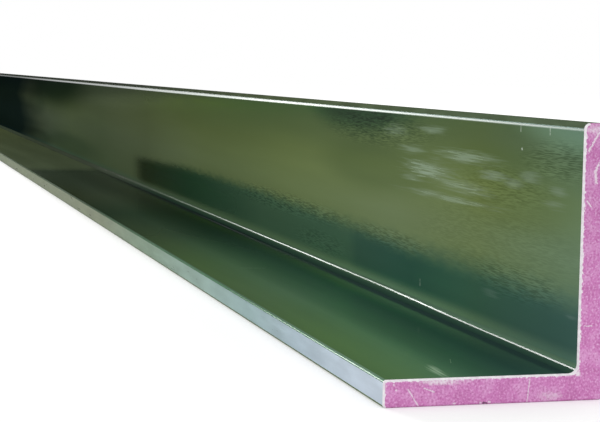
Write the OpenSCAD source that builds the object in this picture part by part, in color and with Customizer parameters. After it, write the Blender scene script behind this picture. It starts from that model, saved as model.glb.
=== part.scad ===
// Aluminium angle bar: one extruded length with two unequal legs, sawn square at both ends.
// It lies on the outside of its flat leg. X runs along the bar, +Y is the back of the upright leg.

/* [Section] */
// Height of the upright leg, measured outside
upright_leg = 60; // [30:1:120]
// Width of the flat leg, measured outside
flat_leg = 50; // [30:1:120]
// Thickness of both legs
wall = 6; // [3:0.5:12]
// Fillet in the inside corner
root_radius = 2; // [1:0.1:6]
// Rounding of the inner edge of the upright leg's toe
top_radius = 1.3; // [0.4:0.1:1.5]
// Rounding of the other edges of both toes
toe_radius = 0.7; // [0.4:0.1:1.4]
// Rounding of the outside corner
heel_radius = 0.6; // [0.4:0.1:2]

/* [Length] */
// Length as cut
bar_length = 1500; // [300:10:6000]
// Bevel that deburring leaves around the sawn ends
deburr = 0.4; // [0.1:0.05:1]

/* [Hidden] */
$fn = 64;
back = flat_leg / 2;
inner = back - wall;
least_radius = min(top_radius, toe_radius, heel_radius);
bevel = min(deburr, 0.8 * least_radius);
clear = 0.1 * least_radius;
// Corners of the section in the order that keeps the metal on the left, each with its radius
heel = [back, 0];
top_out = [back, upright_leg];
top_in = [inner, upright_leg];
root = [inner, wall];
toe_up = [-back, wall];
toe_low = [-back, 0];

// Takes a sharp corner off: side holds the signs of the way into the metal
module rounded(corner, side, r)
  translate(corner) scale([side[0], side[1], 1]) difference() {
    translate([-1, -1]) square(r + 1);
    translate([r, r]) circle(r = r);
  }

module section()
  difference() {
    union() {
      translate(toe_low) square([flat_leg, wall]);
      translate([inner, 0]) square([wall, upright_leg]);
      difference() {
        translate(root - [root_radius, 1]) square(root_radius + 1);
        translate(root + [-root_radius, root_radius]) circle(r = root_radius);
      }
    }
    rounded(heel, [-1, 1], heel_radius);
    rounded(top_out, [-1, -1], toe_radius);
    rounded(top_in, [1, -1], top_radius);
    rounded(toe_up, [1, -1], toe_radius);
    rounded(toe_low, [1, 1], toe_radius);
  }

// Bevel along one straight edge of an end, between the radii of its two corners
module edge_bevel(from, to, r_from, r_to) {
  run = norm(to - from) - r_from - r_to;
  translate(from) rotate(atan2(to[1] - from[1], to[0] - from[0])) translate([r_from, 0, 0])
    rotate([90, 0, 90]) linear_extrude(run)
      polygon([[-clear, -bevel - clear], [bevel + clear, clear], [-clear, clear]]);
}

// The same bevel around one rounded corner: middle is the centre of the rounding
module corner_bevel(middle, start, r)
  translate(middle) rotate(start) rotate_extrude(angle = 90)
    polygon([[r + clear, -bevel - clear], [r + clear, clear], [r - bevel - clear, clear]]);

module root_bevel()
  translate(root + [-root_radius, root_radius]) rotate(270) rotate_extrude(angle = 90)
    polygon([
      [root_radius - clear, -bevel - clear],
      [root_radius + bevel + clear, clear],
      [root_radius - clear, clear]
    ]);

module end_bevel() {
  edge_bevel(heel, top_out, heel_radius, toe_radius);
  edge_bevel(top_out, top_in, toe_radius, top_radius);
  edge_bevel(top_in, root, top_radius, root_radius);
  edge_bevel(root, toe_up, root_radius, toe_radius);
  edge_bevel(toe_up, toe_low, toe_radius, toe_radius);
  edge_bevel(toe_low, heel, toe_radius, heel_radius);
  corner_bevel(heel + heel_radius * [-1, 1], 270, heel_radius);
  corner_bevel(top_out + toe_radius * [-1, -1], 0, toe_radius);
  corner_bevel(top_in + top_radius * [1, -1], 90, top_radius);
  corner_bevel(toe_up + toe_radius * [1, -1], 90, toe_radius);
  corner_bevel(toe_low + toe_radius * [1, 1], 180, toe_radius);
  root_bevel();
}

module angle_bar()
  color([0.37, 0.43, 0.27]) rotate([90, 0, 90]) difference() {
    linear_extrude(bar_length, center = true) section();
    for (end = [0, 1]) mirror([0, 0, end]) translate([0, 0, bar_length / 2]) end_bevel();
  }

angle_bar();
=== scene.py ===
import math

import bpy
from mathutils import Matrix, Vector


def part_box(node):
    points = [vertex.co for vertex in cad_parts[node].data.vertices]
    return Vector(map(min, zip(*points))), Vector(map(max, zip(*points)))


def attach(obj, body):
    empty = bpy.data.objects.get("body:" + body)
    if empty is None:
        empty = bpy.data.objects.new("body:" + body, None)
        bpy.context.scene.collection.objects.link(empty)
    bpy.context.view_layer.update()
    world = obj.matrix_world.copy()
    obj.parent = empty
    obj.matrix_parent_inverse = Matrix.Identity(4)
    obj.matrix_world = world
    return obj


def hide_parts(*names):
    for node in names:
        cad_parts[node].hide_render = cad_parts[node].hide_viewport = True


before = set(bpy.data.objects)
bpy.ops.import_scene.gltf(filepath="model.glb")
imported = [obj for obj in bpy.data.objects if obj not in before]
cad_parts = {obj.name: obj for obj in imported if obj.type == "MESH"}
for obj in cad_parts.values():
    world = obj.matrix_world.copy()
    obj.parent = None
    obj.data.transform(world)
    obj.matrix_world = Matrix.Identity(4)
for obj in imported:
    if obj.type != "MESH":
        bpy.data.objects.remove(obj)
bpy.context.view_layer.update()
scene = bpy.context.scene
scene.view_settings.view_transform = "Standard"
mm = 0.001
lowCorner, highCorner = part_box("angle_bar")
print("frame loaded:", len(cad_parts), "node")


# helpers for building node trees
def setInputs(tree, node, values):
    for name, value in values.items():
        if isinstance(value, bpy.types.NodeSocket):
            tree.links.new(value, node.inputs[name])
        else:
            node.inputs[name].default_value = value


def putNode(tree, kind, values=None, **settings):
    node = tree.nodes.new(kind)
    for name, value in settings.items():
        setattr(node, name, value)
    setInputs(tree, node, values or {})
    return node


def calc(tree, operation, a, b=0.0, limit=False):
    return putNode(tree, "ShaderNodeMath", {0: a, 1: b}, operation=operation, use_clamp=limit).outputs[0]


# several values into one, by default the strongest of them
def merge(tree, values, operation="MAXIMUM"):
    merged = values[0]
    for value in values[1:]:
        merged = calc(tree, operation, merged, value)
    return merged


def vectorCalc(tree, operation, a, b):
    return putNode(tree, "ShaderNodeVectorMath", {0: a, 1: b}, operation=operation).outputs[0]


def vectorLength(tree, vector):
    return putNode(tree, "ShaderNodeVectorMath", {0: vector}, operation="LENGTH").outputs["Value"]


def dotProduct(tree, a, b):
    return putNode(tree, "ShaderNodeVectorMath", {0: a, 1: b}, operation="DOT_PRODUCT").outputs["Value"]


def split(tree, vector):
    return putNode(tree, "ShaderNodeSeparateXYZ", {0: vector}).outputs


noiseMiddle = 0.5


def noise(tree, vector, scale=1.0, detail=2.0):
    values = {"Vector": vector, "Scale": scale, "Detail": detail}
    return putNode(tree, "ShaderNodeTexNoise", values).outputs["Fac"]


def fade(tree, value, low, high, toLow=0.0, toHigh=1.0):
    values = {"Value": value, "From Min": low, "From Max": high, "To Min": toLow, "To Max": toHigh}
    return putNode(tree, "ShaderNodeMapRange", values, interpolation_type="SMOOTHSTEP").outputs[0]


def blendColour(tree, share, a, b, how="MIX"):
    node = putNode(tree, "ShaderNodeMix", {0: share, 6: a, 7: b}, data_type="RGBA", blend_type=how)
    return node.outputs[2]


def multiplied(tree, tone, by):
    return blendColour(tree, 1.0, tone, by, "MULTIPLY")


def colour(rgb):
    return (*rgb, 1.0)


def inMm(values):
    return tuple(value * mm for value in values)


# colours at places along a line, in mm or thousandths
def shades(tree, value, stops):
    first, last = stops[0][0], stops[-1][0]
    limits = {"Value": value, "From Min": first * mm, "From Max": last * mm}
    share = putNode(tree, "ShaderNodeMapRange", limits).outputs[0]
    node = putNode(tree, "ShaderNodeValToRGB", {0: share})
    ramp = node.color_ramp
    ramp.elements.remove(ramp.elements[1])
    ramp.elements[0].position, ramp.elements[0].color = 0.0, colour(stops[0][1])
    for at, rgb in stops[1:]:
        ramp.elements.new((at - first) / (last - first)).color = colour(rgb)
    return node.outputs[0]


# single values at places along a line
def weights(tree, value, rows):
    return shades(tree, value, [(at, (weight,) * 3) for at, weight in rows])


def newGroup(name, kind, inputs, outputs):
    group = bpy.data.node_groups.new(name, kind)
    for label, socketType, value in inputs:
        socket = group.interface.new_socket(label, in_out="INPUT", socket_type=socketType)
        if value is not None:
            socket.default_value = value
    for label, socketType in outputs:
        group.interface.new_socket(label, in_out="OUTPUT", socket_type=socketType)
    return group, group.nodes.new("NodeGroupInput").outputs, group.nodes.new("NodeGroupOutput").inputs


def placeGroup(tree, group, values):
    return putNode(tree, "ShaderNodeGroup", values, node_tree=group).outputs


def newMaterial(name):
    material = bpy.data.materials.new(name)
    material.use_nodes = True
    tree = material.node_tree
    place = tree.nodes.new("ShaderNodeTexCoord").outputs["Object"]
    return material, tree, tree.nodes["Principled BSDF"], place


def addBump(tree, shader, height, depth, strength=1.0):
    bump = putNode(tree, "ShaderNodeBump", {"Height": height, "Distance": depth, "Strength": strength})
    tree.links.new(bump.outputs["Normal"], shader.inputs["Normal"])


# shared effect: soft smear that runs along the bar, with streaks inside and a frayed outline
smearLook = dict(
    stretch=(70, 2300, 2300), detail=3.0, frayAt=(0.25, 0.75), fray=0.3, outline=(1.1, 0.0),
    breakAt=(0.3, 0.68), thinnest=0.65)


def makeSmear(look):
    group, given, result = newGroup("smear", "ShaderNodeTree", [
        ("Place", "NodeSocketVector", None), ("Centre", "NodeSocketVector", None),
        ("Half Size", "NodeSocketVector", (0.02, 0.001, 0.001)), ("Strength", "NodeSocketFloat", 1.0)],
        [("Mask", "NodeSocketFloat")])
    offset = vectorCalc(group, "SUBTRACT", given["Place"], given["Centre"])
    reach = vectorLength(group, vectorCalc(group, "DIVIDE", offset, given["Half Size"]))
    stretched = vectorCalc(group, "MULTIPLY", given["Place"], look["stretch"])
    streaks = noise(group, stretched, detail=look["detail"])
    frayed = calc(group, "ADD", reach, fade(group, streaks, *look["frayAt"], look["fray"], -look["fray"]))
    body = fade(group, frayed, *look["outline"])
    broken = calc(group, "MULTIPLY", body, fade(group, streaks, *look["breakAt"], look["thinnest"], 1.0))
    group.links.new(calc(group, "MULTIPLY", broken, given["Strength"], True), result["Mask"])
    return group


# shared effect: thin straight scratch between two points
scratchLook = dict(grainScale=2600.0, grainAt=(0.3, 0.7), widths=(0.3, 1.5), edge=(1.0, 0.4))


def makeScratch(look):
    group, given, result = newGroup("scratch", "ShaderNodeTree", [
        ("Place", "NodeSocketVector", None), ("From", "NodeSocketVector", None),
        ("Run", "NodeSocketVector", (0, 0.001, 0)), ("Width", "NodeSocketFloat", 0.0002)],
        [("Mask", "NodeSocketFloat")])
    run = given["Run"]
    offset = vectorCalc(group, "SUBTRACT", given["Place"], given["From"])
    share = calc(group, "DIVIDE", dotProduct(group, offset, run), dotProduct(group, run, run), True)
    nearest = putNode(group, "ShaderNodeVectorMath", {0: run, "Scale": share}, operation="SCALE").outputs[0]
    reach = vectorLength(group, vectorCalc(group, "SUBTRACT", offset, nearest))
    grain = noise(group, given["Place"], look["grainScale"])
    width = calc(group, "MULTIPLY", given["Width"], fade(group, grain, *look["grainAt"], *look["widths"]))
    near = calc(group, "DIVIDE", reach, width)
    group.links.new(fade(group, near, *look["edge"]), result["Mask"])
    return group


# shared effect: the fine lines that the die leaves along the bar
dieLinesLook = dict(stretch=(0.004, 1.0, 1.0), detail=2.0)


def makeDieLines(look):
    group, given, result = newGroup("die lines", "ShaderNodeTree", [
        ("Place", "NodeSocketVector", None), ("Per Metre", "NodeSocketFloat", 2500.0)],
        [("Height", "NodeSocketFloat")])
    squeezed = vectorCalc(group, "MULTIPLY", given["Place"], look["stretch"])
    group.links.new(noise(group, squeezed, given["Per Metre"], look["detail"]), result["Height"])
    return group


# shared effect: cloudy change of tone
cloudLook = dict(detail=4.0, limits=(0.3, 0.7))


def makeCloud(look):
    group, given, result = newGroup("cloud", "ShaderNodeTree", [
        ("Place", "NodeSocketVector", None), ("Stretch", "NodeSocketVector", (1, 1, 1)),
        ("Scale", "NodeSocketFloat", 60.0), ("Low", "NodeSocketFloat", 0.0),
        ("High", "NodeSocketFloat", 1.0)],
        [("Tone", "NodeSocketFloat")])
    stretched = vectorCalc(group, "MULTIPLY", given["Place"], given["Stretch"])
    clouds = noise(group, stretched, given["Scale"], look["detail"])
    group.links.new(fade(group, clouds, *look["limits"], given["Low"], given["High"]), result["Tone"])
    return group


# shared effect: curved marks of the saw blade on a cut end
sawMarksLook = dict(detail=3.0)


def makeSawMarks(look):
    group, given, result = newGroup("saw marks", "ShaderNodeTree", [
        ("Place", "NodeSocketVector", None), ("Blade Centre", "NodeSocketVector", (0.75, -0.14, 0.12)),
        ("Pitch", "NodeSocketFloat", 0.0006)], [("Height", "NodeSocketFloat")])
    radius = vectorLength(group, vectorCalc(group, "SUBTRACT", given["Place"], given["Blade Centre"]))
    values = {"W": calc(group, "DIVIDE", radius, given["Pitch"]), "Scale": 1.0, "Detail": look["detail"]}
    marks = putNode(group, "ShaderNodeTexNoise", values, noise_dimensions="1D")
    group.links.new(marks.outputs["Fac"], result["Height"])
    return group


smear = makeSmear(smearLook)
scratch = makeScratch(scratchLook)
dieLines = makeDieLines(dieLinesLook)
cloud = makeCloud(cloudLook)
sawMarks = makeSawMarks(sawMarksLook)
print("shared effects built")


# the effects as they are used in the finishes, with places and sizes in mm
def cloudTone(tree, place, scale, limits, stretch=(1, 1, 1)):
    return placeGroup(tree, cloud, {
        "Place": place, "Stretch": stretch, "Scale": scale, "Low": limits[0], "High": limits[1]})["Tone"]


def smearMask(tree, place, centre, halfSize, strength):
    return placeGroup(tree, smear, {
        "Place": place, "Centre": Vector(centre) * mm, "Half Size": Vector(halfSize) * mm,
        "Strength": strength})["Mask"]


# thin marks given by their two ends and their width
def scratchMask(tree, place, rows):
    masks = []
    for start, stop, width in rows:
        run = (Vector(stop) - Vector(start)) * mm
        values = {"Place": place, "From": Vector(start) * mm, "Run": run, "Width": width * mm}
        masks.append(placeGroup(tree, scratch, values)["Mask"])
    return merge(tree, masks)


# soft oval on a face that looks along Y
patchLook = dict(depth=1000, edge=(1.0, 0.35))


def softPatch(tree, place, centre, halfLength, halfHeight):
    offset = vectorCalc(tree, "SUBTRACT", place, Vector(centre) * mm)
    halfSize = Vector((halfLength, patchLook["depth"], halfHeight)) * mm
    reach = vectorLength(tree, vectorCalc(tree, "DIVIDE", offset, halfSize))
    return fade(tree, reach, *patchLook["edge"])


# green gloss: tone along the bar, cloudy mottle, die lines; each face of the section has its own values
glossGrain = dict(
    stretch=(0.06, 1, 1), mottleScale=55.0, roughScale=120.0, drift=(1.5, 50, 50), driftDetail=1.0)


def startGloss(name, look):
    material, tree, shader, place = newMaterial(name)
    axes = split(tree, place)
    along = axes["X"]
    if "sway" in look:  # the painted dark reflection of the far end starts at an uneven place
        slow = vectorCalc(tree, "MULTIPLY", place, glossGrain["drift"])
        drift = noise(tree, slow, detail=glossGrain["driftDetail"])
        drift = calc(tree, "SUBTRACT", drift, noiseMiddle)
        sway = fade(tree, axes["X"], *look["swayAt"], 0.0, look["sway"])
        along = calc(tree, "ADD", along, calc(tree, "MULTIPLY", drift, sway))
    mottle = cloudTone(tree, place, glossGrain["mottleScale"], look["mottle"], glossGrain["stretch"])
    tone = multiplied(tree, shades(tree, along, look["tones"]), mottle)
    rough = cloudTone(tree, place, glossGrain["roughScale"], look["roughness"], glossGrain["stretch"])
    metallic = look["metallic"]
    if "metalAt" in look:  # dull far away, metallic towards the shown end
        metallic = fade(tree, axes["X"], *look["metalAt"], 0.0, metallic)
    setInputs(tree, shader, {
        "Metallic": metallic, "Specular IOR Level": 0.0, "Specular Tint": colour(look["edgeTint"])})
    return material, tree, shader, place, axes, tone, rough


def addDieLines(tree, shader, place, depth, extra=None):
    height = placeGroup(tree, dieLines, {"Place": place})["Height"]
    if extra is not None:
        height = calc(tree, "ADD", height, extra)
    addBump(tree, shader, height, depth)


# inside of the upright leg: painted shade darker towards the top, a dark lower band that is painted
# reflection, a painted highlight under the top rounding, scuffs and rippled patches near the shown end
uprightGloss = dict(
    tones=(  # place along the bar in mm, colour: painted reflection, near black far away and lighter towards the shown end
        (-750, (0.003, 0.006, 0.004)), (-430, (0.004, 0.008, 0.006)), (-370, (0.012, 0.018, 0.011)),
        (-290, (0.032, 0.042, 0.023)), (-220, (0.042, 0.056, 0.03)), (-80, (0.05, 0.068, 0.031)),
        (60, (0.042, 0.06, 0.027)), (220, (0.052, 0.068, 0.034)), (300, (0.08, 0.102, 0.053)),
        (500, (0.148, 0.186, 0.088)), (625, (0.178, 0.226, 0.118)), (690, (0.164, 0.212, 0.098)),
        (750, (0.14, 0.208, 0.12))),
    mottle=(0.93, 1.07), roughness=(0.06, 0.16), metallic=0.35, metalAt=(-0.1, 0.45),
    edgeTint=(0.27, 0.31, 0.2), sway=0.3, swayAt=(0.0, -0.25), innerFace=19, lineDepth=0.002 * mm,
    heights=(  # height in mm, colour that the tones are multiplied by: painted shade, darker towards the top
        (8, (0.88, 1.12, 1.45)), (11, (1.02, 1.08, 1.14)), (30, (1.12, 1.12, 1.25)),
        (37, (1.08, 1.07, 1.1)), (43, (0.96, 0.95, 0.93)), (50, (0.74, 0.75, 0.8)), (60, (0.52, 0.53, 0.72))),
    paintedHighlight=(0.72, 0.8, 0.78), paintedHighlightFrom=(57.5, 58.1),  # painted highlight: light line under the top rounding, lower edge in mm
    paintedHighlightAlong=(0.2, 0.72), paintedHighlightSoft=0.42 * mm, coatRoughness=0.06,
    paintedHighlightBy=(  # place along the bar in mm, how far the painted highlight shows
        (-400, 0.1), (100, 0.25), (250, 0.6), (350, 0.8), (450, 0.75), (560, 0.75), (625, 0.85), (690, 0.72),
        (750, 0.4)),
    highlightLineCoat=(  # place along the bar in mm, weight of the clear coat on that line
        (-450, 0.2), (-300, 0.45), (-150, 0.65), (20, 0.75), (150, 0.85), (300, 1.0), (430, 0.8), (545, 0.8),
        (625, 1.0), (690, 0.9), (750, 0.5)),
    band=(  # place along the bar in mm, colour that the tones are multiplied by in the dark band, a painted reflection
        (190, (0.03, 0.06, 0.12)), (330, (0.11, 0.27, 0.36)), (470, (0.42, 0.58, 0.78)),
        (580, (0.42, 0.58, 0.78)), (590, (0.31, 0.47, 0.7)), (640, (0.25, 0.43, 0.7)),
        (680, (0.34, 0.53, 0.82)), (750, (0.43, 0.58, 0.84))),
    bandTop=(  # place along the bar and height of the band's upper edge, in mm
        (190, 21.6), (320, 24.3), (480, 24.5), (580, 23.5), (640, 22.5), (700, 23.2), (750, 22.2)),
    bandScale=30, bandFade=(2.2, -3.2), bandSoftAt=(0.45, 0.65), bandSoft=0.55, bandWander=0.5,
    bandStart=(168, 214), bandLean=0.3, bandFoot=(7.5, 11.5), bandFootLeast=0.15,
    wanderStretch=(160, 700, 700), wanderDetail=3.0, wanderAt=(0.3, 0.7),
    patches=(  # soft darker or lighter places, painted reflection: centre along and up, half length, half height, colour
        (-180, 60, 260, 30, (0.24, 0.32, 0.3)), (-280, 12, 120, 9, (0.6, 0.65, 0.65)),
        (-90, 15, 190, 10, (0.7, 0.76, 0.78)), (750, 60, 45, 9, (1.6, 1.7, 1.75)),
        (590, 60, 70, 12, (0.5, 0.56, 0.62)), (700, 49, 40, 6, (0.94, 0.94, 0.9)),
        (605, 42, 75, 11, (0.78, 0.8, 0.8)), (-300, 40, 90, 16, (0.7, 0.75, 0.75)),
        (715, 40, 50, 9, (0.9, 0.88, 0.8))),
    smears=(  # centre along and up, half length, half height, strength
        (652, 44, 25, 3.2, 0.95), (680, 49, 25, 2.2, 0.65), (678, 41, 27, 2.0, 0.6),
        (666, 37.4, 42, 1.3, 0.6), (699, 45.4, 12, 1.6, 0.6), (712, 44.3, 9, 1.3, 0.6),
        (624, 53.5, 13, 2.2, 0.5), (639, 48.8, 14, 1.6, 0.5), (655, 54.8, 14, 1.3, 0.5),
        (639.5, 40.9, 12, 1.1, 0.5), (722, 46.5, 8, 1.6, 0.4), (746, 17.6, 5, 0.9, 0.35),
        (700, 16.6, 7, 1.3, 0.2), (737, 44.3, 6, 1.4, 0.35), (735, 41.3, 8, 1.4, 0.35)),
    scuffed=(0.36, 0.44, 0.41), scuffedBy=0.52, scuffRough=0.3,
    scratches=(  # along and up at one end, along and up at the other, width
        ((715.4, 56.9), (715.4, 58.2), 0.2), ((732, 56.7), (732, 58.6), 0.2),
        ((716.3, 52.8), (716.5, 52.8), 0.35), ((648.2, 13.5), (648.3, 11.6), 0.12)),
    scratched=(0.5, 0.56, 0.5), scratchedBy=0.7,
    ripples=(  # waves per metre along and up; then centre along and up, half length, half height, strength
        ((320, 6400), (
            (605, 53.5, 65, 7, 1.0), (738, 51, 28, 6, 0.9), (705, 43, 40, 7, 0.6), (700, 29, 70, 15, 0.35),
            (715, 21.5, 38, 6, 0.8))),
        ((300, 4400), (
            (500, 22.5, 115, 5, 1.0), (548, 13.5, 42, 5, 0.7), (330, 22, 50, 3, 0.7),
            (620, 22, 50, 4, 0.8)))),
    rippleDetail=0.5, rippleAt=(0.32, 0.68), rippleTones=(0.72, 1.26),
)


# share of the dark band, a painted reflection: uneven upper edge, soft start, faint foot above the root
def bandMask(tree, place, axes, look):
    stretched = vectorCalc(tree, "MULTIPLY", place, look["wanderStretch"])
    wander = noise(tree, stretched, detail=look["wanderDetail"])
    reach = look["bandWander"] * mm
    edge = weights(tree, axes["X"], [(x, z / look["bandScale"]) for x, z in look["bandTop"]])
    above = calc(tree, "SUBTRACT", axes["Z"], calc(tree, "MULTIPLY", edge, look["bandScale"] * mm))
    above = calc(tree, "ADD", above, fade(tree, wander, *look["wanderAt"], -reach, reach))
    above = calc(tree, "MULTIPLY", above, fade(tree, axes["X"], *look["bandSoftAt"], 1.0, look["bandSoft"]))
    overStart = calc(tree, "SUBTRACT", axes["Z"], look["bandTop"][0][1] * mm)
    leaned = calc(tree, "ADD", axes["X"], calc(tree, "MULTIPLY", overStart, look["bandLean"]))
    begun = fade(tree, leaned, *inMm(look["bandStart"]))
    foot = fade(tree, axes["Z"], *inMm(look["bandFoot"]), look["bandFootLeast"], 1.0)
    return merge(tree, [fade(tree, above, *inMm(look["bandFade"])), begun, foot], "MULTIPLY")


# fine waves in the gloss: their height, and a tone change that paints their light and dark reflections
def addRipples(tree, place, tone, look):
    heights = []
    for (perLength, perHeight), rows in look["ripples"]:
        masks = []
        for x, z, halfLength, halfHeight, strength in rows:
            inPatch = softPatch(tree, place, (x, look["innerFace"], z), halfLength, halfHeight)
            masks.append(calc(tree, "MULTIPLY", inPatch, strength))
        rippled = merge(tree, masks)
        drawn = vectorCalc(tree, "MULTIPLY", place, (perLength, perHeight, perHeight))
        ripple = noise(tree, drawn, detail=look["rippleDetail"])
        waves = fade(tree, ripple, *look["rippleAt"], *look["rippleTones"])
        tone = blendColour(tree, rippled, tone, multiplied(tree, tone, waves))
        heights.append(calc(tree, "MULTIPLY", ripple, rippled))
    return tone, merge(tree, heights, "ADD")


def makeUprightGloss(look):
    material, tree, shader, place, axes, tone, rough = startGloss("uprightGloss", look)
    inner = look["innerFace"]
    tone = multiplied(tree, tone, shades(tree, axes["Z"], look["heights"]))
    banded = multiplied(tree, tone, shades(tree, axes["X"], look["band"]))
    tone = blendColour(tree, bandMask(tree, place, axes, look), tone, banded)
    for x, z, halfLength, halfHeight, change in look["patches"]:
        inPatch = softPatch(tree, place, (x, inner, z), halfLength, halfHeight)
        tone = blendColour(tree, inPatch, tone, multiplied(tree, tone, colour(change)))
    tone, relief = addRipples(tree, place, tone, look)
    # painted highlight: a light line just under the top rounding, with a clear coat on it
    lineFoot = fade(tree, axes["X"], *look["paintedHighlightAlong"], *inMm(look["paintedHighlightFrom"]))
    onLine = fade(tree, calc(tree, "SUBTRACT", axes["Z"], lineFoot), 0.0, look["paintedHighlightSoft"])
    highlightShare = calc(tree, "MULTIPLY", onLine, weights(tree, axes["X"], look["paintedHighlightBy"]))
    tone = blendColour(tree, highlightShare, tone, colour(look["paintedHighlight"]))
    coat = calc(tree, "MULTIPLY", onLine, weights(tree, axes["X"], look["highlightLineCoat"]))
    marks = merge(tree, [
        smearMask(tree, place, (x, inner, z), (halfLength, 1, halfHeight), strength)
        for x, z, halfLength, halfHeight, strength in look["smears"]])
    tone = blendColour(tree, calc(tree, "MULTIPLY", marks, look["scuffedBy"]), tone, colour(look["scuffed"]))
    cuts = scratchMask(tree, place, [
        ((a[0], inner, a[1]), (b[0], inner, b[1]), width) for a, b, width in look["scratches"]])
    cutShare = calc(tree, "MULTIPLY", cuts, look["scratchedBy"])
    tone = blendColour(tree, cutShare, tone, colour(look["scratched"]))
    rough = calc(tree, "ADD", rough, calc(tree, "MULTIPLY", marks, look["scuffRough"]))
    setInputs(tree, shader, {
        "Base Color": tone, "Roughness": rough, "Coat Weight": coat, "Coat Roughness": look["coatRoughness"]})
    addDieLines(tree, shader, place, look["lineDepth"], relief)
    return material


# top of the flat leg: painted shade, dark along the root and lighter towards the toe
flatGloss = dict(
    # place along the bar in mm, colour: painted reflection
    tones=(
        (-750, (0.06, 0.075, 0.03)), (35, (0.06, 0.079, 0.043)), (75, (0.026, 0.037, 0.023)),
        (150, (0.025, 0.036, 0.022)), (270, (0.026, 0.038, 0.022)), (360, (0.009, 0.024, 0.016)),
        (450, (0.025, 0.046, 0.03)), (545, (0.06, 0.112, 0.06)), (620, (0.076, 0.136, 0.082)),
        (750, (0.066, 0.136, 0.08))),
    mottle=(0.88, 1.1), roughness=(0.06, 0.14), metallic=0.14, edgeTint=(0.55, 0.6, 0.55),
    legTop=6, lineDepth=0.0015 * mm,
    shade=(  # thousandths of the way across, colour that the tones are multiplied by: painted shade along the root
        (0, (0.34, 0.385, 0.6)), (90, (0.36, 0.4, 0.6)), (250, (0.52, 0.585, 0.69)),
        (540, (0.97, 0.97, 1.02)), (1000, (0.77, 0.74, 0.57))),
    shadeAt=(0.05, 0.3), shadeAcross=(17, -35),
    smears=((743, -10.6, 7, 1.4, 0.6), (738, -9.4, 5, 0.8, 0.4)),  # centre, half size, strength
    scuffed=(0.4, 0.52, 0.4),
    scratches=(((558, -10), (559, -2.3), 0.25), ((728.4, -2.1), (733.2, -3.7), 0.12)),
    scratched=(0.2, 0.3, 0.2), scratchedBy=0.5,
)


def makeFlatGloss(look):
    material, tree, shader, place, axes, tone, rough = startGloss("flatGloss", look)
    across = fade(tree, axes["Y"], *inMm(look["shadeAcross"]))
    shaded = multiplied(tree, tone, shades(tree, across, look["shade"]))
    tone = blendColour(tree, fade(tree, axes["X"], *look["shadeAt"]), tone, shaded)
    for x, y, halfLength, halfWidth, strength in look["smears"]:
        mask = smearMask(tree, place, (x, y, look["legTop"]), (halfLength, halfWidth, 1), strength)
        tone = blendColour(tree, mask, tone, colour(look["scuffed"]))
    cuts = scratchMask(tree, place, [
        ((*a, look["legTop"]), (*b, look["legTop"]), width) for a, b, width in look["scratches"]])
    cutShare = calc(tree, "MULTIPLY", cuts, look["scratchedBy"])
    tone = blendColour(tree, cutShare, tone, colour(look["scratched"]))
    setInputs(tree, shader, {"Base Color": tone, "Roughness": rough})
    addDieLines(tree, shader, place, look["lineDepth"])
    return material


# polished roundings and root fillet, brighter towards the shown end, a painted reflection
# coat rows: place along the bar in mm, weight of the clear coat
topEdgeGloss = dict(
    tones=(
        (-750, (0.02, 0.026, 0.018)), (0, (0.04, 0.055, 0.035)), (450, (0.1, 0.125, 0.105)),
        (750, (0.12, 0.16, 0.145))),
    mottle=(0.9, 1.1), roughness=(0.08, 0.14), metallic=0.2, metalAt=(-0.1, 0.45),
    edgeTint=(0.42, 0.45, 0.44),
    coat=(
        (-400, 0.045), (-150, 0.06), (20, 0.065), (150, 0.065), (260, 0.12), (360, 0.17), (600, 0.13),
        (690, 0.05), (750, 0.02)),
)
rootGloss = dict(
    tones=(
        (-750, (0.02, 0.028, 0.018)), (-450, (0.03, 0.04, 0.025)), (-250, (0.032, 0.042, 0.026)),
        (0, (0.036, 0.046, 0.03)), (150, (0.055, 0.07, 0.048)), (400, (0.07, 0.12, 0.07)),
        (750, (0.11, 0.2, 0.13))),
    mottle=(0.9, 1.1), roughness=(0.3, 0.36), metallic=0.0, edgeTint=(0.15, 0.17, 0.15),
    coat=(
        (0, 0.0), (255, 0.02), (355, 0.07), (430, 0.18), (500, 0.34), (548, 0.4), (593, 0.23), (628, 0.19),
        (690, 0.23), (750, 0.3)),
    rise=(  # height in mm, colour that the tones are multiplied by: painted shade low in the root fillet
        (6, (0.22, 0.29, 0.33)), (6.5, (0.26, 0.34, 0.35)), (6.85, (0.4, 0.46, 0.45)),
        (7.2, (0.95, 0.95, 0.95)), (8, (0.85, 0.85, 0.85))),
    riseAt=(0.0, 0.3), lineTurn=(0.6, 0.7), lineAt=(7.4, 6.8), lineFade=(0.28, 0.03),
)
toeEdgeGloss = dict(
    tones=((-750, (0.06, 0.075, 0.03)), (300, (0.03, 0.045, 0.028)), (750, (0.1, 0.18, 0.12))),
    mottle=(0.9, 1.1), roughness=(0.2, 0.3), metallic=0.1, edgeTint=(0.3, 0.33, 0.3),
    coat=((600, 0.0), (720, 0.12), (750, 0.12)),
)
edgePolish = dict(coatRoughness=0.03, lineDepth=0.0015 * mm)


def makeEdgeGloss(name, look):
    material, tree, shader, place, axes, tone, rough = startGloss(name, look)
    coat = weights(tree, axes["X"], look["coat"])
    if "rise" in look:  # the fillet: painted shade low down, and its coat keeps to one thin line
        risen = fade(tree, axes["X"], *look["riseAt"])
        tone = blendColour(tree, risen, tone, shades(tree, axes["Z"], look["rise"]), "MULTIPLY")
        line = fade(tree, axes["X"], *look["lineTurn"], *inMm(look["lineAt"]))
        off = calc(tree, "ABSOLUTE", calc(tree, "SUBTRACT", axes["Z"], line))
        coat = calc(tree, "MULTIPLY", coat, fade(tree, off, *inMm(look["lineFade"])))
    setInputs(tree, shader, {
        "Base Color": tone, "Roughness": rough, "Coat Weight": coat,
        "Coat Roughness": edgePolish["coatRoughness"]})
    addDieLines(tree, shader, place, edgePolish["lineDepth"])
    return material


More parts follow.
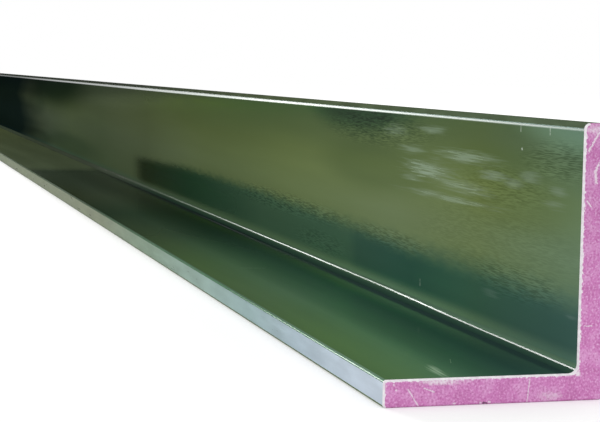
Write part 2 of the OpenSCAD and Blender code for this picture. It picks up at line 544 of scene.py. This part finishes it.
# back and underside, hidden in the photograph and finished plainly
plainGloss = dict(
    tones=((-750, (0.08, 0.105, 0.055)), (0, (0.1, 0.135, 0.062)), (750, (0.14, 0.195, 0.088))),
    mottle=(0.85, 1.12), roughness=(0.12, 0.24), metallic=0.35, edgeTint=(0.4, 0.45, 0.38),
    lineDepth=0.003 * mm,
)


def makePlainGloss(look):
    material, tree, shader, place, axes, tone, rough = startGloss("plainGloss", look)
    setInputs(tree, shader, {"Base Color": tone, "Roughness": rough})
    addDieLines(tree, shader, place, look["lineDepth"])
    return material


# toes: bare metal on the flat leg, dull green on the upright leg
bareToe = dict(
    # tones along the bar: lighter and bluer towards the shown end, a painted reflection
    tones=(
        (-120, (0.215, 0.24, 0.178)), (350, (0.285, 0.31, 0.237)), (476, (0.29, 0.38, 0.305)),
        (565, (0.36, 0.475, 0.435)), (632, (0.39, 0.515, 0.525)), (684, (0.48, 0.575, 0.65)),
        (741, (0.61, 0.685, 0.78))),
    mottle=(0.95, 1.05), roughness=(0.27, 0.45), metallic=0.5, edgeTint=(0.3, 0.32, 0.28),
    lineDepth=0.012 * mm,
)
dullToe = dict(
    # tones along the bar: dark far away, a painted dark reflection
    tones=(
        (-750, (0.016, 0.02, 0.017)), (200, (0.035, 0.042, 0.03)), (500, (0.066, 0.088, 0.045)),
        (750, (0.085, 0.12, 0.07))),
    mottle=(0.8, 1.15), roughness=(0.55, 0.7), metallic=0.0, edgeTint=(1, 1, 1), lineDepth=0.01 * mm,
)
toeGrain = dict(
    mottleScale=240.0, mottleStretch=(0.25, 1, 1), roughScale=450.0, roughStretch=(0.1, 1, 1),
    linesPerMetre=1800.0)


def makeToe(name, look):
    material, tree, shader, place = newMaterial(name)
    tone = shades(tree, split(tree, place)["X"], look["tones"])
    mottle = cloudTone(tree, place, toeGrain["mottleScale"], look["mottle"], toeGrain["mottleStretch"])
    rough = cloudTone(tree, place, toeGrain["roughScale"], look["roughness"], toeGrain["roughStretch"])
    setInputs(tree, shader, {
        "Base Color": multiplied(tree, tone, mottle), "Roughness": rough, "Metallic": look["metallic"],
        "Specular IOR Level": 0.0, "Specular Tint": colour(look["edgeTint"])})
    lines = placeGroup(tree, dieLines, {"Place": place, "Per Metre": toeGrain["linesPerMetre"]})["Height"]
    addBump(tree, shader, lines, look["lineDepth"])
    return material


# pink marking paint on the sawn end, with a ragged bare rim along its inner edges
pinkEnd = dict(
    paint=(0.66, 0.235, 0.54), pale=(0.82, 0.48, 0.75), deep=(0.5, 0.155, 0.38), cloudScale=260.0,
    cloudLimits=(-0.35, 0.45), speckleScale=2100.0, speckleDetail=3.0, paleSpecks=(0.5, 0.72),
    deepSpecks=(0.5, 0.28), specksBy=0.95, lightAt=(0.012, 0.05), lightBy=(1.07, 0.94),
    inner=19 * mm, legTop=6 * mm, bare=(0.97, 0.93, 0.97), rim=(0.6 * mm, 0.2 * mm), rimBy=0.9,
    rimWander=0.35 * mm, rimScale=1300.0, rimAt=(0.3, 0.7),
    smears=(  # centre across and up, half width, half height, strength
        (-12, 5.25, 7.0, 0.9, 0.8), (22, 58.6, 4.0, 1.2, 0.6), (13, 1.3, 3.5, 1.2, 0.45)),
    scratches=(  # across and up at one end, across and up at the other, width
        ((-19.5, 3.8), (-17.2, 0.3), 0.2), ((-16.0, 4.0), (-13.7, 3.1), 0.2), ((8.0, 5.2), (7.5, 0.4), 0.18),
        ((22.3, 58.0), (20.1, 54.1), 0.35), ((20.0, 43.4), (21.0, 42.1), 0.2),
        ((20.5, 16.3), (22.1, 16.3), 0.2), ((22.5, 51.3), (21.7, 49.6), 0.4),
        ((21.7, 49.6), (22.1, 47.2), 0.4), ((-22.7, 4.9), (-22.6, 4.9), 0.3),
        ((-22.2, 3.85), (-22.1, 3.85), 0.3), ((-3.2, 0.45), (-3.0, 0.5), 0.35),
        ((-1.35, 0.45), (-1.1, 0.5), 0.35), ((-9.3, 0.4), (-9.0, 0.5), 0.3)),
    scratchedBy=0.65, scratchDepth=1.5,
    # small nicks, painted dark as their shadow
    nicks=(((-2.6, 0.36), (-2.3, 0.4), 0.3), ((-1.9, 0.31), (-1.75, 0.34), 0.25)),
    dark=(0.06, 0.03, 0.05), nickShadowBy=0.8,
    roughAt=(0.3, 0.7), roughness=(0.6, 0.85), reliefDepth=0.04 * mm, reliefBy=0.6, specular=0.2,
)


# share of the bare rim, by the distance from the section's inner edges and from the toe
def rimMask(tree, place, axes, look):
    intoUpright = calc(tree, "MAXIMUM", calc(tree, "SUBTRACT", axes["Y"], look["inner"]), 0.0)
    intoFlat = calc(tree, "MAXIMUM", calc(tree, "SUBTRACT", look["legTop"], axes["Z"]), 0.0)
    inward = putNode(tree, "ShaderNodeCombineXYZ", {"Y": intoUpright, "Z": intoFlat}).outputs[0]
    fromToe = calc(tree, "SUBTRACT", axes["Y"], lowCorner[1])
    depth = calc(tree, "MINIMUM", vectorLength(tree, inward), fromToe)
    ragged = noise(tree, place, look["rimScale"])
    wander = fade(tree, ragged, *look["rimAt"], -look["rimWander"], look["rimWander"])
    return fade(tree, calc(tree, "ADD", depth, wander), *look["rim"])


def makePinkEnd(look):
    material, tree, shader, place = newMaterial("pinkEnd")
    axes = split(tree, place)
    end = highCorner[0] / mm
    pale, deep = colour(look["pale"]), colour(look["deep"])
    clouds = cloudTone(tree, place, look["cloudScale"], look["cloudLimits"])
    tone = blendColour(tree, calc(tree, "MAXIMUM", clouds, 0.0), colour(look["paint"]), pale)
    tone = blendColour(tree, calc(tree, "MAXIMUM", calc(tree, "MULTIPLY", clouds, -1.0), 0.0), tone, deep)
    speckle = noise(tree, place, look["speckleScale"], look["speckleDetail"])
    for limits, fleck in ((look["paleSpecks"], pale), (look["deepSpecks"], deep)):
        flecked = calc(tree, "MULTIPLY", fade(tree, speckle, *limits), look["specksBy"])
        tone = blendColour(tree, flecked, tone, fleck)
    # painted shading: the paint lighter low down and darker higher up
    tone = multiplied(tree, tone, fade(tree, axes["Z"], *look["lightAt"], *look["lightBy"]))

    def onEnd(rows):
        return scratchMask(tree, place, [((end, *a), (end, *b), width) for a, b, width in rows])

    marks = [calc(tree, "MULTIPLY", rimMask(tree, place, axes, look), look["rimBy"])]
    for y, z, halfWidth, halfHeight, strength in look["smears"]:
        marks.append(smearMask(tree, place, (end, y, z), (1, halfWidth, halfHeight), strength))
    cuts = onEnd(look["scratches"])
    marks.append(calc(tree, "MULTIPLY", cuts, look["scratchedBy"]))
    tone = blendColour(tree, merge(tree, marks), tone, colour(look["bare"]))
    # painted shadow in the small nicks
    nickShadow = calc(tree, "MULTIPLY", onEnd(look["nicks"]), look["nickShadowBy"])
    tone = blendColour(tree, nickShadow, tone, colour(look["dark"]))
    rough = fade(tree, speckle, *look["roughAt"], *look["roughness"])
    setInputs(tree, shader, {"Base Color": tone, "Roughness": rough, "Specular IOR Level": look["specular"]})
    saw = placeGroup(tree, sawMarks, {"Place": place})["Height"]
    grain = calc(tree, "SUBTRACT", speckle, calc(tree, "MULTIPLY", cuts, look["scratchDepth"]))
    addBump(tree, shader, calc(tree, "ADD", saw, grain), look["reliefDepth"], look["reliefBy"])
    return material


# bare sawn metal on the far end, and the torn edge of the shown end
sawnMetal = dict(light=(0.72, 0.73, 0.74), dark=(0.5, 0.51, 0.52), metallic=0.8)
tornEdge = dict(light=(0.97, 0.95, 0.97), dark=(0.82, 0.75, 0.82), metallic=0.1)
cutGrain = dict(scale=900.0, roughness=(0.35, 0.6), height=0.5, depth=0.05 * mm, strength=0.7)


def makeBareCut(name, look):
    material, tree, shader, place = newMaterial(name)
    grain = cloudTone(tree, place, cutGrain["scale"], (0.0, 1.0))
    tone = blendColour(tree, grain, colour(look["dark"]), colour(look["light"]))
    rough = fade(tree, grain, 0.0, 1.0, *cutGrain["roughness"])
    setInputs(tree, shader, {"Base Color": tone, "Roughness": rough, "Metallic": look["metallic"]})
    saw = placeGroup(tree, sawMarks, {"Place": place})["Height"]
    height = calc(tree, "ADD", saw, calc(tree, "MULTIPLY", grain, cutGrain["height"]))
    addBump(tree, shader, height, cutGrain["depth"], cutGrain["strength"])
    return material


finishes = dict(
    plain=makePlainGloss(plainGloss),
    upright=makeUprightGloss(uprightGloss),
    flat=makeFlatGloss(flatGloss),
    topEdge=makeEdgeGloss("topEdgeGloss", topEdgeGloss),
    root=makeEdgeGloss("rootGloss", rootGloss),
    toeEdge=makeEdgeGloss("toeEdgeGloss", toeEdgeGloss),
    toe=makeToe("bareToe", bareToe),
    top=makeToe("dullToe", dullToe),
    shownEnd=makePinkEnd(pinkEnd),
    farEnd=makeBareCut("sawnMetal", sawnMetal),
    tornEdge=makeBareCut("tornEdge", tornEdge),
)
print("finishes built:", len(finishes))

# the bar itself: section drawn from its corners, rounded, and drawn out along X
bar = dict(
    wall=6 * mm, rootRadius=2 * mm, topRadius=1.3 * mm, toeRadius=0.7 * mm, heelRadius=0.6 * mm,
    deburr=0.4 * mm, deburrSteps=2, deburrAngle=60, arcSteps=11, stations=61, faceWeight=100)


def makeBarTree():
    lengths = (
        ("Upright Leg", 0.06), ("Flat Leg", 0.05), ("Wall", 0.006), ("Root Radius", 0.002),
        ("Top Radius", 0.001), ("Toe Radius", 0.001), ("Heel Radius", 0.001), ("Length", 1.0))
    inputs = [("Geometry", "NodeSocketGeometry", None)]
    inputs += [(label, "NodeSocketFloat", value) for label, value in lengths]
    inputs += [("Arc Steps", "NodeSocketInt", 8), ("Stations", "NodeSocketInt", 20)]
    tree, given, result = newGroup(
        "drawnSection", "GeometryNodeTree", inputs, [("Geometry", "NodeSocketGeometry")])
    back = calc(tree, "MULTIPLY", given["Flat Leg"], 0.5)
    front = calc(tree, "MULTIPLY", given["Flat Leg"], -0.5)
    inner = calc(tree, "SUBTRACT", back, given["Wall"])
    corners = (
        (back, 0.0, "Heel Radius"), (back, given["Upright Leg"], "Toe Radius"),
        (inner, given["Upright Leg"], "Top Radius"), (inner, given["Wall"], "Root Radius"),
        (front, given["Wall"], "Toe Radius"), (front, 0.0, "Toe Radius"))
    index = tree.nodes.new("GeometryNodeInputIndex").outputs[0]
    places = putNode(tree, "GeometryNodeIndexSwitch", data_type="VECTOR")
    radii = putNode(tree, "GeometryNodeIndexSwitch", data_type="FLOAT")
    for switch in (places, radii):
        while len(switch.index_switch_items) < len(corners):
            switch.index_switch_items.new()
        tree.links.new(index, switch.inputs["Index"])
    for k, (across, up, radius) in enumerate(corners):
        point = putNode(tree, "ShaderNodeCombineXYZ", {"X": across, "Y": up}).outputs[0]
        tree.links.new(point, places.inputs[k + 1])
        tree.links.new(given[radius], radii.inputs[k + 1])
    ring = putNode(tree, "GeometryNodeCurvePrimitiveCircle", {"Resolution": len(corners)}).outputs["Curve"]
    sharp = putNode(tree, "GeometryNodeSetPosition", {
        "Geometry": ring, "Position": places.outputs[0]}).outputs[0]
    rounded = putNode(tree, "GeometryNodeFilletCurve", {
        "Curve": sharp, "Count": given["Arc Steps"], "Radius": radii.outputs[0]}, mode="POLY").outputs[0]
    turned = putNode(tree, "GeometryNodeTransform", {
        "Geometry": rounded, "Rotation": (0, 0, math.pi)}).outputs[0]
    half = calc(tree, "MULTIPLY", given["Length"], 0.5)
    start = putNode(tree, "ShaderNodeCombineXYZ", {"X": calc(tree, "MULTIPLY", half, -1.0)}).outputs[0]
    stop = putNode(tree, "ShaderNodeCombineXYZ", {"X": half}).outputs[0]
    line = putNode(tree, "GeometryNodeCurvePrimitiveLine", {"Start": start, "End": stop}).outputs["Curve"]
    path = putNode(tree, "GeometryNodeResampleCurve", {"Curve": line, "Count": given["Stations"]}).outputs[0]
    solid = putNode(tree, "GeometryNodeCurveToMesh", {
        "Curve": path, "Profile Curve": turned, "Fill Caps": True}).outputs[0]
    smooth = putNode(tree, "GeometryNodeSetShadeSmooth", {"Geometry": solid}).outputs[0]
    plain = putNode(tree, "GeometryNodeRealizeInstances", {"Geometry": smooth}).outputs[0]
    painted = putNode(tree, "GeometryNodeSetMaterial", {
        "Geometry": plain, "Material": finishes["plain"]}).outputs[0]
    tree.links.new(painted, result["Geometry"])
    return tree


def addNodes(piece, name, tree, values):
    modifier = piece.modifiers.new(name, "NODES")
    modifier.node_group = tree
    sockets = {s.name: s.identifier for s in tree.interface.items_tree if s.in_out == "INPUT"}
    for label, value in values.items():
        modifier[sockets[label]] = value


def makeBar(sizes):
    piece = bpy.data.objects.new("extruded_bar", bpy.data.meshes.new("extruded_bar"))
    scene.collection.objects.link(piece)
    addNodes(piece, "drawn section", makeBarTree(), {
        "Upright Leg": highCorner[2] - lowCorner[2], "Flat Leg": highCorner[1] - lowCorner[1],
        "Length": highCorner[0] - lowCorner[0], "Wall": sizes["wall"], "Root Radius": sizes["rootRadius"],
        "Top Radius": sizes["topRadius"], "Toe Radius": sizes["toeRadius"],
        "Heel Radius": sizes["heelRadius"], "Arc Steps": sizes["arcSteps"], "Stations": sizes["stations"]})
    edges = piece.modifiers.new("deburred ends", "BEVEL")
    edges.width, edges.segments, edges.limit_method = sizes["deburr"], sizes["deburrSteps"], "ANGLE"
    edges.angle_limit = math.radians(sizes["deburrAngle"])
    return piece


# finishes by face, and what the saw left on the shown end
sawnEnd = dict(
    facing=0.98, dullFrom=0.16, legSlack=0.1 * mm, burr=0.11 * mm, burrStep=0.3 * mm, burrWidths=(0.25, 1.5),
    burrSides=6, burrBack=0.2 * mm, ragScale=900.0, ragDetail=2.0, ragAt=(0.3, 0.7), ragShift=0.6 * mm,
    endSlack=0.001 * mm, rimFromFloor=0.6 * mm, rimFromBack=1 * mm, rimFromTop=1 * mm)


def makeEndTree(sizes):
    tree, given, result = newGroup("sawnEnd", "GeometryNodeTree", [
        ("Geometry", "NodeSocketGeometry", None), ("Burr", "NodeSocketFloat", 0.0002),
        ("Burr Step", "NodeSocketFloat", 0.0004)], [("Geometry", "NodeSocketGeometry")])
    place = split(tree, tree.nodes.new("GeometryNodeInputPosition").outputs[0])
    normal = split(tree, tree.nodes.new("GeometryNodeInputNormal").outputs[0])

    def above(value, limit):
        return calc(tree, "GREATER_THAN", value, limit)

    def below(value, limit):
        return calc(tree, "LESS_THAN", value, limit)

    def both(a, b):
        return calc(tree, "MULTIPLY", a, b)

    def either(a, b):
        return calc(tree, "MAXIMUM", a, b)

    facing = sizes["facing"]
    inner = highCorner[1] - sizes["wall"]
    legTop = lowCorner[2] + sizes["wall"]
    pastInner = inner + sizes["topRadius"]
    underLegTop = legTop - sizes["toeRadius"]
    onTop = above(place["Z"], highCorner[2] - sizes["topRadius"])
    onToe = below(place["Y"], lowCorner[1] + sizes["toeRadius"])
    onShownEnd = above(place["X"], highCorner[0] - sizes["deburr"])
    inRoot = both(both(above(place["Y"], inner - sizes["rootRadius"]), below(place["Y"], inner)),
                  both(above(place["Z"], legTop), below(place["Z"], legTop + sizes["rootRadius"])))
    insideRim = both(below(place["Y"], pastInner), above(place["Z"], underLegTop))
    dull = either(above(normal["Z"], sizes["dullFrom"]), above(place["Y"], pastInner))
    zones = (
        ("upright", both(below(normal["Y"], -facing), above(place["Y"], 0.0))),
        ("flat", both(above(normal["Z"], facing), below(place["Z"], legTop + sizes["legSlack"]))),
        ("root", inRoot),
        ("toeEdge", both(onToe, above(place["Z"], underLegTop))),
        ("topEdge", onTop),
        ("top", both(onTop, dull)),
        ("toe", both(onToe, below(normal["Y"], -facing))),
        ("shownEnd", onShownEnd),
        ("tornEdge", both(both(onShownEnd, below(normal["X"], facing)), either(insideRim, onToe))),
        ("farEnd", below(place["X"], lowCorner[0] + sizes["deburr"])))
    body = given["Geometry"]
    for finish, chosen in zones:
        body = putNode(tree, "GeometryNodeSetMaterial", {
            "Geometry": body, "Selection": chosen, "Material": finishes[finish]}).outputs[0]
    rimEdge = above(place["X"], highCorner[0] - sizes["endSlack"])
    offBack = below(place["Y"], highCorner[1] - sizes["rimFromBack"])
    offTop = below(place["Z"], highCorner[2] - sizes["rimFromTop"])
    inside = both(both(above(place["Z"], sizes["rimFromFloor"]), offBack), offTop)
    rim = putNode(tree, "GeometryNodeMeshToCurve", {
        "Mesh": given["Geometry"], "Selection": both(rimEdge, inside)}).outputs[0]
    rim = putNode(tree, "GeometryNodeResampleCurve", {
        "Curve": rim, "Length": given["Burr Step"]}, mode="LENGTH").outputs[0]
    ragged = putNode(tree, "ShaderNodeTexNoise", {
        "Scale": sizes["ragScale"], "Detail": sizes["ragDetail"]}).outputs
    centred = vectorCalc(tree, "SUBTRACT", ragged["Color"], (noiseMiddle,) * 3)
    jitter = vectorCalc(tree, "MULTIPLY", centred, (0, sizes["ragShift"], sizes["ragShift"]))
    shift = vectorCalc(tree, "ADD", jitter, (-sizes["burrBack"], 0, 0))
    rim = putNode(tree, "GeometryNodeSetPosition", {"Geometry": rim, "Offset": shift}).outputs[0]
    uneven = fade(tree, ragged["Fac"], *sizes["ragAt"], *sizes["burrWidths"])
    thick = calc(tree, "MULTIPLY", given["Burr"], uneven)
    wire = putNode(tree, "GeometryNodeCurvePrimitiveCircle", {
        "Resolution": sizes["burrSides"], "Radius": 1.0}).outputs["Curve"]
    burr = putNode(tree, "GeometryNodeCurveToMesh", {
        "Curve": rim, "Profile Curve": wire, "Scale": thick, "Fill Caps": True}).outputs[0]
    burr = putNode(tree, "GeometryNodeSetMaterial", {
        "Geometry": burr, "Material": finishes["tornEdge"]}).outputs[0]
    joined = tree.nodes.new("GeometryNodeJoinGeometry")
    for part in (body, burr):
        tree.links.new(part, joined.inputs[0])
    plain = putNode(tree, "GeometryNodeRealizeInstances", {"Geometry": joined.outputs[0]}).outputs[0]
    tree.links.new(plain, result["Geometry"])
    return tree


def finishPiece(piece):
    graph = bpy.context.evaluated_depsgraph_get()
    mesh = bpy.data.meshes.new_from_object(piece.evaluated_get(graph), depsgraph=graph)
    piece.modifiers.clear()
    piece.data = mesh
    mesh.name = piece.name
    return mesh


barPiece = makeBar(bar)
addNodes(barPiece, "sawn end", makeEndTree({**bar, **sawnEnd}), {
    "Burr": sawnEnd["burr"], "Burr Step": sawnEnd["burrStep"]})
flatFaces = barPiece.modifiers.new("flat faces", "WEIGHTED_NORMAL")
flatFaces.weight, flatFaces.keep_sharp = bar["faceWeight"], True
barMesh = finishPiece(barPiece)
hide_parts("angle_bar")
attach(barPiece, "root")
print("bar drawn:", len(barMesh.polygons), "faces,", [m.name for m in barMesh.materials])

# pale floor, plain white surround and soft lamps
studio = dict(
    floorSize=12.0, floorColour=(0.8, 0.8, 0.8), floorGrain=(0.98, 1.0), grainScale=3.0, floorRoughness=0.9,
    floorGlow=0.25, surround=0.95)


# one for what is seen directly or mirrored, none for the light that falls on things
def shownShare(tree):
    rays = tree.nodes.new("ShaderNodeLightPath").outputs
    return merge(tree, [rays["Is Camera Ray"], rays["Is Glossy Ray"], rays["Is Transmission Ray"]])


def makeFloor(look):
    half = look["floorSize"] / 2
    mesh = bpy.data.meshes.new("floor")
    corners = [(-half, -half, 0), (half, -half, 0), (half, half, 0), (-half, half, 0)]
    mesh.from_pydata(corners, [], [(0, 1, 2, 3)])
    floor = bpy.data.objects.new("floor", mesh)
    scene.collection.objects.link(floor)
    material, tree, shader, place = newMaterial("paleFloor")
    grain = cloudTone(tree, place, look["grainScale"], look["floorGrain"])
    setInputs(tree, shader, {
        "Base Color": multiplied(tree, colour(look["floorColour"]), grain),
        "Roughness": look["floorRoughness"], "Specular IOR Level": 0.0, "Emission Color": colour((1, 1, 1)),
        "Emission Strength": calc(tree, "MULTIPLY", shownShare(tree), look["floorGlow"])})
    mesh.materials.append(material)


def makeSurround(look):
    world = bpy.data.worlds.new("surround")
    world.use_nodes = True
    tree = world.node_tree
    level = fade(tree, shownShare(tree), 0.0, 1.0, look["surround"], 1.0)
    setInputs(tree, tree.nodes["Background"], {"Color": colour((1, 1, 1)), "Strength": level})
    scene.world = world


lamps = (  # name, place, aim, size, power
    ("sideStrip", (-2.6, -1.05, 0.95), (0.5, 0, 0), (0.4, 1.1), 28.0),
    ("lowStrip", (-2.4, -0.8, 0.42), (0.4, 0, 0.05), (1.4, 0.6), 34.0),
)


def addLamps():
    for name, place, aim, size, power in lamps:
        light = bpy.data.lights.new(name, "AREA")
        light.shape, light.energy = "RECTANGLE", power
        light.size, light.size_y = size
        lamp = bpy.data.objects.new(name, light)
        lamp.location = place
        lamp.rotation_euler = (Vector(aim) - Vector(place)).to_track_quat("-Z", "Y").to_euler()
        scene.collection.objects.link(lamp)


makeFloor(studio)
makeSurround(studio)
addLamps()
print("studio lit")

# camera at the photograph's angle
view = dict(
    azimuth=74.531, elevation=4.949, roll=0.996, place=(1.07322, -0.13318, 0.07066), focalPixels=1650,
    frameWidth=600, sensorWidth=36, nearest=0.01)


def addCamera(look):
    azimuth, elevation, roll = (math.radians(look[name]) for name in ("azimuth", "elevation", "roll"))
    level = math.cos(elevation)
    back = Vector((math.sin(azimuth) * level, -math.cos(azimuth) * level, math.sin(elevation)))
    right = Vector((math.cos(azimuth), math.sin(azimuth), 0))
    upward = back.cross(right)
    leanRight = math.cos(roll) * right + math.sin(roll) * upward
    leanUp = math.cos(roll) * upward - math.sin(roll) * right
    lens = bpy.data.cameras.new("camera")
    lens.sensor_fit, lens.sensor_width = "HORIZONTAL", look["sensorWidth"]
    lens.lens = look["focalPixels"] * lens.sensor_width / look["frameWidth"]
    lens.clip_start = look["nearest"]
    camera = bpy.data.objects.new("camera", lens)
    turn = Matrix((leanRight, leanUp, back)).transposed().to_4x4()
    camera.matrix_world = Matrix.Translation(look["place"]) @ turn
    scene.collection.objects.link(camera)
    scene.camera = camera


addCamera(view)
print("camera set")
